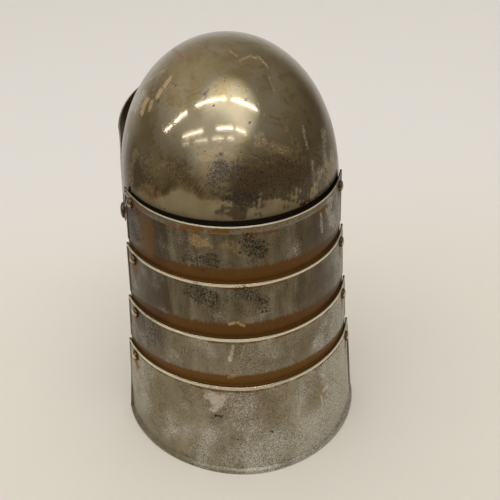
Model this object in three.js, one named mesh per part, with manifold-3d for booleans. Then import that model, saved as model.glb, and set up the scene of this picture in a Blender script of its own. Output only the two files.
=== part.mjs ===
// Lobster-tail pot helmet, standing on the rim of its neck guard.
// A one-piece skull, a pivoting peak, and a neck guard of four overlapping
// plates that hinge on small rivets at their two ends.
//
// Millimetres, +Z up, the face towards -Y, the wearer's left towards +X. The
// sizes below are measured from the middle of the skull, on the table plane.
// At the end everything moves along Y so that the origin is the middle of the
// helmet's footprint box.

import * as THREE from 'three';
import { mergeVertices } from 'three/addons/utils/BufferGeometryUtils.js';
import Module from 'manifold-3d';

// The skull.
const SKULL = {
  halfWidth: 100.3,
  halfLength: 112.5,
  height: 131, // from the widest section to the top
  profileIn: 2.2, // the two powers of the dome's profile
  profileOut: 2,
  wall: 1.4,
  tilt: THREE.MathUtils.degToRad(16), // it leans forward when it stands on the neck guard
  rimSide: 41, // depth of the rim below the widest section, at the sides
  rimSwing: 15, // more of it at the back, and less over the face
  narrowing: 0.047, // share of the width lost at the rim's depth at the sides
};
const SKULL_STEPS = { around: 48, below: 3, above: 12 };

// The neck guard.
const PLATE_WALL = 1.3;
const SKULL_GAP = 1.3; // clearance between the skull and the first plate
const NECK = {
  height: 249.2, // of the first plate's upper edge, where it passes slopeFrom
  slopeFrom: 50,
  skullDrop: 9.2, // from there down to the skull's widest section
  halfWidth: SKULL.halfWidth + SKULL_GAP + PLATE_WALL,
  depth: SKULL.halfLength + SKULL_GAP + PLATE_WALL,
};

// The upper edge of each plate, and the lowest edge of all. The half-width of
// its curve in plan is a share of NECK.halfWidth, its depth, its middle and the
// place where its ends stop are shares of NECK.depth, and its height is a share
// of NECK.height. Its rivets lie at a share of NECK.depth too. The power is the
// curve's, and the slope is towards the back.
const EDGE_TABLE = [
  {
    wide: 0.989, deep: 1.084, middle: 0, ends: 0.312, rivet: 0.428,
    power: 2, high: 1, slope: -0.089,
  },
  {
    wide: 1.015, deep: 1.075, middle: -0.017, ends: 0.225, rivet: 0.377,
    power: 1.92, high: 0.766, slope: -0.04,
  },
  {
    wide: 1.045, deep: 1.058, middle: -0.035, ends: 0.19, rivet: 0.342,
    power: 1.88, high: 0.538, slope: -0.03,
  },
  {
    wide: 1.076, deep: 1.067, middle: -0.043, ends: 0.147, rivet: 0.299,
    power: 1.84, high: 0.337, slope: -0.03,
  },
  {
    wide: 1.112, deep: 1.197, middle: -0.017, ends: 0.035,
    power: 1.9, high: 0, slope: 0,
  },
];
const EDGES = EDGE_TABLE.map(({ wide, deep, middle, ends, rivet, power, high, slope }) => ({
  halfWidth: NECK.halfWidth * wide,
  depth: NECK.depth * deep,
  middle: NECK.depth * middle,
  end: NECK.depth * ends,
  rivet: NECK.depth * rivet,
  z: NECK.height * high,
  power,
  slope,
}));
const PLATES = EDGES.length - 1;

const OVERLAP = 13; // how far a plate reaches below the next plate's upper edge
const GAP_SIDE = 0.6; // clearance between two plates at their ends
const GAP_BACK = 2.6; // and at the back, where they swing most
const BEAD = 0.7; // how far the polished upper edge stands proud
const BEAD_TALL = 2.6;
const COLLAR = 2.2; // the first plate's edge is turned out further
const COLLAR_TALL = 7.5;
const COLLAR_FADE = [0.09, 0.3]; // shares of the length from each end over which it grows
const STEP = 0.8; // length over which a raised border falls away
const END_BORDER = 4; // width of the raised border down each end
const END_BORDER_STOP = 4; // how far above the next plate's edge it stops
const HEM = 2.6; // how far the lowest rim stands out
const HEM_TALL = 3.6;
const FLARE = 1.1; // power by which the lowest plate flares to its rim
const CORNER = 12; // radius of the lowest plate's front corners
const ARC_STEPS = 28;
const MIDDLE_ROWS = [0.36, 0.66]; // shares of a plate's height with a row of points

// The neck guard's rivets, a pair to a plate.
const RIVET_BELOW = 9; // from the plate's upper edge down to the rivet
const RIVET_HEAD = 5.1;
const RIVET_DOME = 3;
const RIVET_SHANK = 2.3;
const RIVET_PLAY = 0.7; // between the shank and its hole
const TAIL_EDGE = 1.4; // the flattened inner end reaches past its hole
const TAIL_THICK = 1.2;
const RIVET_STEPS = 10;
const HEAD_GAP = 0.33;
// The domed heads, as shares of a head's radius and of its height.
const HEAD_PROFILE = [[1, 0], [0.92, 0.45], [0.62, 0.85], [0, 1]];
const TAIL_GAP = 1.5; // room inside for the walls' slant
const SKULL_TAIL_GAP = 2; // and for the skull's curve

// The temple rivets that the peak turns on, and the peak, shown swung up.
const PIVOT = { y: 0, drop: 27 }; // the drop is from the skull's widest section
const PIVOT_HEAD = 7.6;
const PIVOT_DOME = 3.2;
const PIVOT_SHANK = 3.2;
const PIVOT_PLAY = 0.6;
const PIVOT_STEPS = 16;
const PEAK = {
  wall: 1.2,
  sideGap: 0.8, // from the skull's widest section out to the arms
  bow: 0.002, // the arms curve in over the skull, from bowFrom above the pivot
  bowFrom: 28,
  frontGap: 4.5, // from the skull's front to the edge next to it
  reach: 33, // from that edge out to the rim, in plan
  rimIn: 1.2, // the rim at the sides, in from the skull's widest section
  wingFront: 45.5, // in front of the pivot, where the two edges begin to curve in
  innerRise: 22, // the edge next to the skull above the pivot, level with it
  innerSlope: 0.43, // and its rise forward
  rimRise: 52.7, // the same for the rim
  rimSlope: 0.3,
  roll: 2.4, // the rolled rim
  rollStep: 0.01, // share of the brim's width over which the roll rises
  boss: 2.4, // the boss at the pivot reaches past the rivet's head
  bossFlat: 0.17, // the turn over which the boss is cut flat below
  bossRear: 0.75 * Math.PI, // the turn at which its rear runs on into the arm
  // Points that the side's curves run to or bend towards, as shares forward
  // and up of the way from the pivot to where an edge begins to curve in.
  frontBend: [0.57, 0.53],
  armBend: [0.44, 0.24],
  armTop: [0.37, 0.6],
  lobeBendLow: [0.35, 0.78],
  lobeBendHigh: [0.6, 0.916],
  bossSteps: 6,
  armSteps: 5,
  lobeSteps: 5,
  ringSteps: 28,
};

const SKULL_Z = NECK.height - NECK.skullDrop;
const PIVOT_Z = SKULL_Z - PIVOT.drop;
const PEAK_SIDE = SKULL.halfWidth + PEAK.sideGap;

const wasm = await Module();
wasm.setup();

// A closed three.js geometry as a solid, and a solid as a geometry.
function toSolid(geometry) {
  const plain = geometry.clone();
  plain.deleteAttribute('normal');
  plain.deleteAttribute('uv');
  const merged = mergeVertices(plain, 1e-4);
  return new wasm.Manifold(new wasm.Mesh({
    numProp: 3,
    vertProperties: new Float32Array(merged.attributes.position.array),
    triVerts: new Uint32Array(merged.index.array),
  }));
}

function toGeometry(solid) {
  const mesh = solid.getMesh();
  const geometry = new THREE.BufferGeometry();
  geometry.setAttribute('position', new THREE.BufferAttribute(mesh.vertProperties, 3));
  geometry.setIndex(new THREE.BufferAttribute(mesh.triVerts, 1));
  geometry.computeVertexNormals();
  return geometry;
}

// A closed sheet from two grids of points, its outer and its inner face. The
// rows run along the sheet. A ring's rows close on themselves, and a cap's last
// row is a single point. Seen from outside, the columns run to the left.
function sheet(outer, inner, { ring = false, cap = false } = {}) {
  const rows = outer.length;
  const columns = outer[0].length;
  const points = [...outer.flat(), ...inner.flat()];
  const at = (face, row, column) => (
    face * rows * columns + row * columns + (ring ? column % columns : column)
  );
  const triangles = [];
  const quad = (a, b, c, d) => triangles.push(a, b, c, a, c, d);
  const spans = ring ? columns : columns - 1;
  for (let row = 0; row < rows - 1; row += 1) {
    for (let column = 0; column < spans; column += 1) {
      quad(
        at(0, row, column), at(0, row, column + 1),
        at(0, row + 1, column + 1), at(0, row + 1, column),
      );
      quad(
        at(1, row, column), at(1, row + 1, column),
        at(1, row + 1, column + 1), at(1, row, column + 1),
      );
    }
  }
  for (let column = 0; column < spans; column += 1) {
    const last = rows - 1;
    quad(at(0, 0, column), at(1, 0, column), at(1, 0, column + 1), at(0, 0, column + 1));
    if (!cap) {
      quad(
        at(0, last, column), at(0, last, column + 1),
        at(1, last, column + 1), at(1, last, column),
      );
    }
  }
  if (!ring) {
    const last = columns - 1;
    for (let row = 0; row < rows - 1; row += 1) {
      quad(at(0, row, 0), at(0, row + 1, 0), at(1, row + 1, 0), at(1, row, 0));
      quad(at(0, row, last), at(1, row, last), at(1, row + 1, last), at(0, row + 1, last));
    }
  }
  const geometry = new THREE.BufferGeometry();
  geometry.setAttribute('position', new THREE.Float32BufferAttribute(
    points.flatMap((point) => point.toArray()), 3,
  ));
  geometry.setIndex(triangles);
  return geometry;
}

const mix = THREE.MathUtils.lerp;
const signedPower = (value, power) => Math.sign(value) * Math.abs(value) ** power;

// A point of the skull at an angle round it (0 at the wearer's left, a quarter
// turn at the back) and a height from its widest section. The inset moves it
// inwards by the wall.
function skullPoint(angle, height, inset) {
  const tall = SKULL.height - inset;
  const rise = THREE.MathUtils.clamp(height / tall, 0, 1);
  const share = height > 0
    ? Math.max(0, 1 - rise ** SKULL.profileIn) ** (1 / SKULL.profileOut)
    : 1 - SKULL.narrowing * (height / SKULL.rimSide) ** 2;
  const x = (SKULL.halfWidth - inset) * share * Math.cos(angle);
  const y = (SKULL.halfLength - inset) * share * Math.sin(angle);
  return new THREE.Vector3(x, y, height)
    .applyAxisAngle(new THREE.Vector3(1, 0, 0), SKULL.tilt)
    .add(new THREE.Vector3(0, 0, SKULL_Z));
}

function skullSolid() {
  const { around, below, above } = SKULL_STEPS;
  const faces = [0, SKULL.wall].map((inset) => {
    const rows = [];
    for (let row = -below; row <= above; row += 1) {
      rows.push(Array.from({ length: around }, (unused, column) => {
        const angle = (2 * Math.PI * column) / around;
        const rim = SKULL.rimSide + SKULL.rimSwing * Math.sin(angle);
        const height = row < 0
          ? (rim * row) / below
          : (SKULL.height - inset) * Math.sin((row / above) * (Math.PI / 2));
        return skullPoint(angle, height, inset);
      }));
    }
    return rows;
  });
  return toSolid(sheet(faces[0], faces[1], { ring: true, cap: true }));
}

// An edge's curve drawn in by a side and a back amount, at a share of the way
// from the wearer's left end round the back to the right end.
function edgePoint(edge, share, side = 0, back = 0) {
  const halfWidth = edge.halfWidth - side;
  const depth = edge.depth - back;
  const reach = (edge.end - edge.middle) / edge.depth;
  const start = Math.asin(signedPower(reach, edge.power / 2));
  const angle = mix(start, Math.PI - start, share);
  const x = halfWidth * signedPower(Math.cos(angle), 2 / edge.power);
  const y = edge.middle + depth * signedPower(Math.sin(angle), 2 / edge.power);
  return new THREE.Vector3(x, y, edge.z + edge.slope * (y - NECK.slopeFrom));
}

// How far a plate's upper edge stands proud. The first plate's collar dies out
// towards its ends, where the plate lies close to the skull.
function edgeRaise(plate, share) {
  const fromEnds = THREE.MathUtils.smoothstep(Math.min(share, 1 - share), ...COLLAR_FADE);
  return plate === 0 ? COLLAR * fromEnds : BEAD;
}

// The outer face of a plate without its raised borders. The fall is 0 along
// its upper edge and 1 at the height of the next plate's upper edge.
function platePoint(plate, share, fall) {
  const last = plate === PLATES - 1;
  const proud = edgeRaise(plate, share);
  const upper = edgePoint(EDGES[plate], share, proud, proud);
  const inside = BEAD + PLATE_WALL;
  const lower = last
    ? edgePoint(EDGES[plate + 1], share, HEM, HEM)
    : edgePoint(EDGES[plate + 1], share, inside + GAP_SIDE, inside + GAP_BACK);
  // The lowest plate flares towards its rim.
  const flare = last ? fall ** FLARE : fall;
  return new THREE.Vector3(
    mix(upper.x, lower.x, flare),
    mix(upper.y, lower.y, flare),
    mix(upper.z, lower.z, fall),
  );
}

// The direction straight out of a plate, level with the table or square to it.
function plateNormal(plate, share, fall, level) {
  const small = 1e-3;
  const along = platePoint(plate, share + small, fall)
    .sub(platePoint(plate, share - small, fall));
  const down = level
    ? new THREE.Vector3(0, 0, -1)
    : platePoint(plate, share, fall + small).sub(platePoint(plate, share, fall - small));
  return down.cross(along).normalize();
}

function plateSolid(plate) {
  const last = plate === PLATES - 1;
  const tall = EDGES[plate].z - EDGES[plate + 1].z;
  const beadTall = plate === 0 ? COLLAR_TALL : BEAD_TALL;
  const bottom = last ? 1 : 1 + OVERLAP / tall;
  // How far each row lies below the upper edge, whether it is part of the
  // raised edge or the hem, and how proud the end borders stand there.
  const rows = [
    { drop: 0, edge: true, border: BEAD },
    { drop: beadTall, edge: true, border: BEAD },
    { drop: beadTall + STEP, border: BEAD },
    ...MIDDLE_ROWS.map((share) => ({ drop: tall * share, border: BEAD })),
  ];
  if (last) {
    rows.push({ drop: tall - CORNER, border: BEAD });
    rows.push({ drop: tall - HEM_TALL - STEP, border: BEAD });
    rows.push({ drop: tall - HEM_TALL, hem: HEM, border: 0 });
    rows.push({ drop: tall, hem: HEM, border: 0 });
  } else {
    rows.push({ drop: tall - END_BORDER_STOP, border: BEAD });
    rows.push({ drop: tall - END_BORDER_STOP + STEP, border: 0 });
    rows.push({ drop: tall * bottom, border: 0 });
  }
  // Columns stand closer at the two ends, where the raised border is. The
  // length round the plate is near that of half an ellipse.
  const arc = (Math.PI * (EDGES[plate].halfWidth + EDGES[plate].depth)) / 2;
  const shares = [0, END_BORDER / arc, (END_BORDER + STEP) / arc];
  for (let column = 1; column < ARC_STEPS; column += 1) {
    shares.push(column / ARC_STEPS);
  }
  shares.push(1 - shares[2], 1 - shares[1], 1);
  const faces = { outer: [], inner: [] };
  rows.forEach(({ drop, edge = false, hem = 0, border }) => {
    const fall = drop / tall;
    const fromRim = tall - drop;
    // The lowest plate's front corners are rounded off.
    const rounded = last && fromRim < CORNER
      ? CORNER * (1 - Math.sqrt(1 - (1 - fromRim / CORNER) ** 2))
      : 0;
    const outer = [];
    const inner = [];
    shares.forEach((share, column) => {
      const pulled = mix(rounded / arc, 1 - rounded / arc, share);
      const atEnd = column < 2 || column > shares.length - 3;
      const normal = plateNormal(plate, pulled, fall, true);
      const face = platePoint(plate, pulled, fall);
      // Raised borders only stand outwards, so the inner face stays plain,
      // but for the first plate's collar, which is turned out as a whole.
      const out = edge ? edgeRaise(plate, pulled) : hem;
      const raise = Math.max(out, atEnd ? border : 0);
      outer.push(face.clone().addScaledVector(normal, raise));
      const turnedOut = plate === 0 && edge ? out : 0;
      inner.push(face.clone().addScaledVector(normal, turnedOut - PLATE_WALL));
    });
    faces.outer.unshift(outer);
    faces.inner.unshift(inner);
  });
  return toSolid(sheet(faces.outer, faces.inner));
}

// The share and fall at which a plate passes a point seen from the side, on
// the wearer's left, found by closing in on it.
function plateAt(plate, y, z) {
  let share = 0.1;
  let fall = 0.2;
  for (let turn = 0; turn < 20; turn += 1) {
    const here = platePoint(plate, share, fall);
    const small = 1e-4;
    const alongShare = platePoint(plate, share + small, fall).sub(here).divideScalar(small);
    const alongFall = platePoint(plate, share, fall + small).sub(here).divideScalar(small);
    const missY = y - here.y;
    const missZ = z - here.z;
    const size = alongShare.y * alongFall.z - alongShare.z * alongFall.y;
    share += (missY * alongFall.z - missZ * alongFall.y) / size;
    fall += (alongShare.y * missZ - alongShare.z * missY) / size;
  }
  return { share, fall };
}

// Where a plate's rivet stands on its outer face, and the way it points. The
// side is 1 for the wearer's left and -1 for the right.
function rivetPlace(plate, side) {
  const y = EDGES[plate].rivet;
  const z = EDGES[plate].z - RIVET_BELOW;
  const { share, fall } = plateAt(plate, y, z);
  const point = platePoint(plate, share, fall);
  const normal = plateNormal(plate, share, fall, false);
  point.x *= side;
  normal.x *= side;
  return { point, normal };
}

// A shape turned about +Y, laid so that its own +Y runs along a direction.
function turned(profile, steps, point, normal) {
  const geometry = new THREE.LatheGeometry(
    profile.map(([radius, height]) => new THREE.Vector2(radius, height)), steps,
  );
  geometry.applyQuaternion(new THREE.Quaternion().setFromUnitVectors(
    new THREE.Vector3(0, 1, 0), normal,
  ));
  return geometry.translate(point.x, point.y, point.z);
}

// A rivet's profile from its inner end out to the top of its domed head. The
// face of the plate it stands on is at height 0.
function rivetProfile({ head, dome, shank, play, grip }) {
  const tail = shank + play + TAIL_EDGE;
  const tailTop = -grip;
  return [
    [0, tailTop - TAIL_THICK],
    [tail, tailTop - TAIL_THICK],
    [tail, tailTop],
    [shank, tailTop],
    [shank, HEAD_GAP],
    ...HEAD_PROFILE.map(([out, up]) => [head * out, HEAD_GAP + dome * up]),
  ];
}

function plateRivetGrip(plate) {
  // Through this plate and the one inside it, which for the first is the skull.
  return plate === 0
    ? PLATE_WALL + SKULL_GAP + SKULL.wall + SKULL_TAIL_GAP
    : PLATE_WALL + GAP_SIDE + PLATE_WALL + TAIL_GAP;
}

function plateRivet(plate, side) {
  const { point, normal } = rivetPlace(plate, side);
  return turned(rivetProfile({
    head: RIVET_HEAD,
    dome: RIVET_DOME,
    shank: RIVET_SHANK,
    play: RIVET_PLAY,
    grip: plateRivetGrip(plate),
  }), RIVET_STEPS, point, normal);
}

function rivetHole(plate, side) {
  const { point, normal } = rivetPlace(plate, side);
  const reach = 2 * plateRivetGrip(plate);
  const radius = RIVET_SHANK + RIVET_PLAY;
  return toSolid(turned([
    [0, -reach], [radius, -reach], [radius, reach], [0, reach],
  ], RIVET_STEPS, point, normal));
}

// The heights of the peak's edge next to the skull and of its rim.
const innerEdgeZ = (y) => PIVOT_Z + PEAK.innerRise - PEAK.innerSlope * (y - PIVOT.y);
const rimEdgeZ = (y) => PIVOT_Z + PEAK.rimRise - PEAK.rimSlope * (y - PIVOT.y);

// How far out an arm's outer face lies at a place seen from the side.
function armX(y, z) {
  const past = Math.max(0, Math.hypot(y - PIVOT.y, z - PIVOT_Z) - PEAK.bowFrom);
  return PEAK_SIDE - PEAK.bow * past ** 2;
}

// A place seen from the side, from its shares of the way from the pivot to
// where an edge begins to curve in.
function sidePlace(edgeZ, [forward, up]) {
  const y = PIVOT.y - PEAK.wingFront;
  return new THREE.Vector2(mix(PIVOT.y, y, forward), mix(PIVOT_Z, edgeZ(y), up));
}

// The stations along the peak on the wearer's left, from the bottom of the
// boss up the arm to where the edges begin to curve in. Each has its point of
// the front and inner edge, its point of the rear edge and the rim, and how
// much of the rim's roll it carries.
function sideStations() {
  const radius = PIVOT_HEAD + PEAK.boss;
  const around = (turn, way) => new THREE.Vector2(
    PIVOT.y + way * radius * Math.sin(turn), PIVOT_Z - radius * Math.cos(turn),
  );
  const stations = [];
  const add = (front, rear, roll, widen) => {
    const rearX = mix(armX(rear.x, rear.y), SKULL.halfWidth - PEAK.rimIn, widen);
    stations.push({
      front: new THREE.Vector3(armX(front.x, front.y), front.x, front.y),
      rear: new THREE.Vector3(rearX, rear.x, rear.y),
      roll,
      across: new THREE.Vector2(1, 0),
    });
  };
  for (let step = 0; step < PEAK.bossSteps; step += 1) {
    const share = step / PEAK.bossSteps;
    add(
      around(mix(PEAK.bossFlat, Math.PI / 2, share), -1),
      around(mix(PEAK.bossFlat, PEAK.bossRear, share), 1),
      0, 0,
    );
  }
  // The front edge runs up in one curve, and the rear edge in two: up the arm,
  // and over the rounded end of the rim.
  const front = new THREE.QuadraticBezierCurve(
    around(Math.PI / 2, -1), sidePlace(innerEdgeZ, PEAK.frontBend), sidePlace(innerEdgeZ, [1, 1]),
  );
  const armTop = sidePlace(rimEdgeZ, PEAK.armTop);
  const arm = new THREE.QuadraticBezierCurve(
    around(PEAK.bossRear, 1), sidePlace(rimEdgeZ, PEAK.armBend), armTop,
  );
  const lobe = new THREE.CubicBezierCurve(
    armTop, sidePlace(rimEdgeZ, PEAK.lobeBendLow), sidePlace(rimEdgeZ, PEAK.lobeBendHigh),
    sidePlace(rimEdgeZ, [1, 1]),
  );
  const steps = PEAK.armSteps + PEAK.lobeSteps;
  for (let step = 0; step < steps; step += 1) {
    const onLobe = Math.max(0, (step - PEAK.armSteps) / PEAK.lobeSteps);
    const rear = step < PEAK.armSteps
      ? arm.getPoint(step / PEAK.armSteps)
      : lobe.getPoint(onLobe);
    add(front.getPoint(step / steps), rear, onLobe, onLobe);
  }
  return stations;
}

function peakSolid() {
  const stations = sideStations();
  const wingY = PIVOT.y - PEAK.wingFront;
  const innerHalf = armX(wingY, innerEdgeZ(wingY));
  const rimHalf = SKULL.halfWidth - PEAK.rimIn;
  const innerDepth = SKULL.halfLength + PEAK.frontGap + wingY;
  for (let step = 0; step <= PEAK.ringSteps; step += 1) {
    const angle = (Math.PI * step) / PEAK.ringSteps;
    const innerY = wingY - innerDepth * Math.sin(angle);
    const rimY = wingY - (innerDepth + PEAK.reach) * Math.sin(angle);
    stations.push({
      front: new THREE.Vector3(innerHalf * Math.cos(angle), innerY, innerEdgeZ(innerY)),
      rear: new THREE.Vector3(rimHalf * Math.cos(angle), rimY, rimEdgeZ(rimY)),
      roll: 1,
      across: new THREE.Vector2(Math.cos(angle), -Math.sin(angle)),
    });
  }
  const flip = ({ x, y, z }) => new THREE.Vector3(-x, y, z);
  sideStations().reverse().forEach(({ front, rear, roll }) => stations.push({
    front: flip(front), rear: flip(rear), roll, across: new THREE.Vector2(-1, 0),
  }));
  // The last two rows carry the rolled rim.
  const rollShare = PEAK.roll / (PEAK.rimRise - PEAK.innerRise);
  const rows = [
    { share: 0, out: 0 },
    { share: 0.5, out: 0 },
    { share: 1 - rollShare - PEAK.rollStep, out: 0 },
    { share: 1 - rollShare, out: PEAK.roll - PEAK.wall },
    { share: 1, out: PEAK.roll - PEAK.wall },
  ];
  const face = (inset) => rows.map(({ share, out }) => stations.map(({
    front, rear, roll, across,
  }) => {
    const shift = inset === 0 ? out * roll : -inset;
    return front.clone().lerp(rear, share)
      .add(new THREE.Vector3(across.x * shift, across.y * shift, 0));
  }).reverse());
  let solid = toSolid(sheet(face(0), face(PEAK.wall)));
  [1, -1].forEach((side) => {
    solid = solid.subtract(pivotHole(side));
  });
  return solid;
}

// Where a pivot stands on the peak's outer face; it points straight sideways.
function pivotPlace(side) {
  return {
    point: new THREE.Vector3(side * PEAK_SIDE, PIVOT.y, PIVOT_Z),
    normal: new THREE.Vector3(side, 0, 0),
  };
}

function pivotGrip() {
  // Through the peak and the skull's side, level with the pivot.
  const skullSide = skullPoint(0, -PIVOT.drop * Math.cos(SKULL.tilt), 0).x;
  return PEAK_SIDE - skullSide + SKULL.wall + SKULL_TAIL_GAP;
}

function pivotRivet(side) {
  const { point, normal } = pivotPlace(side);
  return turned(rivetProfile({
    head: PIVOT_HEAD,
    dome: PIVOT_DOME,
    shank: PIVOT_SHANK,
    play: PIVOT_PLAY,
    grip: pivotGrip(),
  }), PIVOT_STEPS, point, normal);
}

function pivotHole(side) {
  const { point, normal } = pivotPlace(side);
  const radius = PIVOT_SHANK + PIVOT_PLAY;
  const reach = 2 * pivotGrip();
  return toSolid(turned([
    [0, -reach], [radius, -reach], [radius, reach], [0, reach],
  ], PIVOT_STEPS, point, normal));
}

// The materials, and the finished helmet.
const steel = (color, roughness) => (
  () => new THREE.MeshStandardMaterial({ color, roughness, metalness: 1 })
);
const tarnished = steel('#8d7d5c', 0.28);
const greySteel = steel('#8f887a', 0.45);
const rivetSteel = steel('#9a8a68', 0.4);
const darkSteel = steel('#6f675a', 0.35);

const helmet = new THREE.Group();
function addPiece(name, geometry, material) {
  const mesh = new THREE.Mesh(geometry, material());
  mesh.name = name;
  helmet.add(mesh);
}

let skull = skullSolid();
[1, -1].forEach((side) => {
  skull = skull.subtract(rivetHole(0, side)).subtract(pivotHole(side));
});
addPiece('skull', toGeometry(skull), tarnished);
addPiece('peak', toGeometry(peakSolid()), darkSteel);
addPiece('peak_pivot_left', pivotRivet(1), rivetSteel);
addPiece('peak_pivot_right', pivotRivet(-1), rivetSteel);

for (let plate = 0; plate < PLATES; plate += 1) {
  let solid = plateSolid(plate);
  [1, -1].forEach((side) => {
    solid = solid.subtract(rivetHole(plate, side));
    if (plate + 1 < PLATES) {
      solid = solid.subtract(rivetHole(plate + 1, side));
    }
  });
  addPiece(`neck_plate_${plate + 1}`, toGeometry(solid), greySteel);
  addPiece(`plate_${plate + 1}_rivet_left`, plateRivet(plate, 1), rivetSteel);
  addPiece(`plate_${plate + 1}_rivet_right`, plateRivet(plate, -1), rivetSteel);
}

// The origin goes to the middle of the footprint box.
const box = new THREE.Box3().setFromObject(helmet);
const middleY = (box.min.y + box.max.y) / 2;
helmet.children.forEach((mesh) => {
  mesh.geometry.translate(0, -middleY, 0);
});

export default helmet;
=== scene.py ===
"""The looks of a lobster-tail pot helmet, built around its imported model.

The helmet stands on the rim of its neck guard and is seen from behind. Lengths
are in millimetres until a mesh is made, and then in metres, like the stage's.
"""

import math

import bmesh
import bpy
import numpy as np
from mathutils import Matrix, Vector


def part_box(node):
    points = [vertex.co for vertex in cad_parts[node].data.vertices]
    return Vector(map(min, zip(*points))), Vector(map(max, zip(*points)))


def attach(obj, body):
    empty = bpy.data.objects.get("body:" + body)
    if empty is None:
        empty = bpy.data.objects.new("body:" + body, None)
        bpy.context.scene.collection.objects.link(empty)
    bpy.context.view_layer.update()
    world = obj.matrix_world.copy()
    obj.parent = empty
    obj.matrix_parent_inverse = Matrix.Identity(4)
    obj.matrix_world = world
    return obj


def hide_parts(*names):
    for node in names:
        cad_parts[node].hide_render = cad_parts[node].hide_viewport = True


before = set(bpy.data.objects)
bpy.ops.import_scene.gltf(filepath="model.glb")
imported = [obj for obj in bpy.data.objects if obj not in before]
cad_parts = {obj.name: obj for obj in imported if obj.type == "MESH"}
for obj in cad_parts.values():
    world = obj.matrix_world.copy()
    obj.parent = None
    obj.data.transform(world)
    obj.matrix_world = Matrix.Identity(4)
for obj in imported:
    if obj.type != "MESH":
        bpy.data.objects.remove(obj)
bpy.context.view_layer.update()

MM = 0.001

# The photograph's frame, and the camera that fits it.
FRAME_PIXELS = 500
CAMERA_PLACE = (70.5, 826.0, 561.5)
CAMERA_AZIMUTH = 4.93  # from +Y towards +X
CAMERA_ELEVATION = 24.91
CAMERA_ROLL = -2.8
CAMERA_FOCUS = 944.5  # focal length in pixels
CAMERA_CENTRE = (233.1, 232.7)  # the pixel that the camera points at

# The skull's form.
SKULL_HEIGHT = 130.98
SKULL_PROFILE_IN = 2.2
SKULL_PROFILE_OUT = 2
SKULL_WALL = 1.4
SKULL_TILT = math.radians(16)
SKULL_RIM_SIDE = 41
SKULL_RIM_SWING = 15
SKULL_NARROWING = 0.047
SKULL_HALF_LENGTH = 112.5
SKULL_GAP = 1.3
SKULL_DROP = 9.2
SKULL_EDGE = 0.012  # share of the skirt over which the rim is rounded
SKULL_ROUND = 0.35

# The neck guard's form, as shares of the first plate's fit round the skull.
PLATE_WALL = 1.3
# Each edge's width and depth, the places of its middle, ends and rivets, the power
# of its curve, its height and its slope.
EDGE_TABLE = [
    (0.989, 1.084, 0, 0.312, 0.428, 2, 1, -0.089),
    (1.015, 1.075, -0.017, 0.225, 0.377, 1.92, 0.766, -0.04),
    (1.045, 1.058, -0.035, 0.19, 0.342, 1.88, 0.538, -0.03),
    (1.076, 1.067, -0.043, 0.147, 0.299, 1.84, 0.337, -0.03),
    (1.112, 1.197, -0.017, 0.035, 0, 1.9, 0, 0),
]
SLOPE_FROM = 50
OVERLAP = 13
GAP_SIDE = 0.6
GAP_BACK = 2.6
BEAD = 0.7
BEAD_TALL = 3.2
BEAD_ROUND = 1.05
BEAD_FINE = 0.65
COLLAR = 2.2
COLLAR_TALL = 7.5
END_BORDER = 4
END_BORDER_STOP = 4
HEM = 2.6
HEM_TALL = 3.6
FLARE = 1.1
CORNER = 12
RIVET_BELOW = 9
# Rivets: the head's radius, the dome's height, and the shank's and tail's radius.
RIVET = (5.1, 3, 2.3, 4.4)
PIVOT = (7.6, 3.2, 3.2, 5.2)
HEAD_GAP = 0.33
RIVET_HOLE = 3.4
# The next plate's rivet holes, through each plate's covered part.
COVERED_HOLE = (3.4, 3.4, 3)
RIVET_TAIL_THICK = 1.2
SKULL_RIVET_GRIP = 6
PLATE_RIVET_GRIP = 4.7
HOLE_REACH = 9  # how deep a hole is cut, to either side of its point
PIVOT_HOLE = 4.4

# The peak's form.
PEAK_WALL = 0.95
PEAK_SIDE_GAP = 0.8
PEAK_BOW = 0.002
PEAK_BOW_FROM = 28
PEAK_FRONT_GAP = 4.5
PEAK_REACH = 33
PEAK_RIM_IN = 1.2
PEAK_WING_FRONT = 45.5
PEAK_INNER_RISE = 22
PEAK_INNER_SLOPE = 0.43
PEAK_RIM_RISE = 52.7
PEAK_RIM_SLOPE = 0.3
PEAK_ROLL = 2.4
PEAK_BOSS = 2.4
PEAK_BOSS_FLAT = 0.05
PEAK_BOSS_REAR = 0.75 * math.pi
PEAK_FRONT_BEND = (0.57, 0.53)
PEAK_ARM_BEND = (0.44, 0.24)
PEAK_ARM_TOP = (0.37, 0.6)
PEAK_LOBE_BENDS = ((0.35, 0.78), (0.6, 0.916), (1, 1))

# How finely the pieces are made: points along a row, numbers of rows, and the
# space between two rows of a plate.
SKULL_COLUMNS = (300, 90)  # behind and before
DOME_ROWS = 116
SKIRT_ROWS = 24
INNER_DOME_ROWS = 34
INNER_SKIRT_ROWS = 26
PLATE_COLUMNS = 270
PLATE_ROW = 1.3
HOLE_ROW = 1.7  # close enough for a rivet hole to be cut through both faces
PEAK_COLUMNS = 220
RIVET_COLUMNS = 32
PIVOT_COLUMNS = 48
SHEET_COLUMNS = 128

# A near-black for pits and soot, also used for painted shade in gaps.
SOOT_AND_SHADE = (24, 19, 13)
# How each kind of mark looks, from the lowest layer up: its tone on a screen, how
# metallic and how rough it is, how well it covers, and how ragged it is.
MARK_LOOKS = {
    # The first kind is a painted sheen: a bright, burnished tint that stands for the ceiling's
    # glow on the crown.
    "painted_sheen": ((188, 176, 150), 1.0, 0.1, 0.7, 0.2),
    "brown": ((94, 66, 30), 1.0, 0.2, 0.7, 0.3),
    "tan": ((184, 154, 108), 0.25, 0.42, 0.85, 1.6),
    "rust": ((112, 74, 28), 0.1, 0.45, 0.95, 2),
    "pale": ((222, 214, 198), 0.6, 0.4, 0.85, 1.6),
    "dark": (SOOT_AND_SHADE, 0.0, 0.4, 0.95, 4.5),
}
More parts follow.
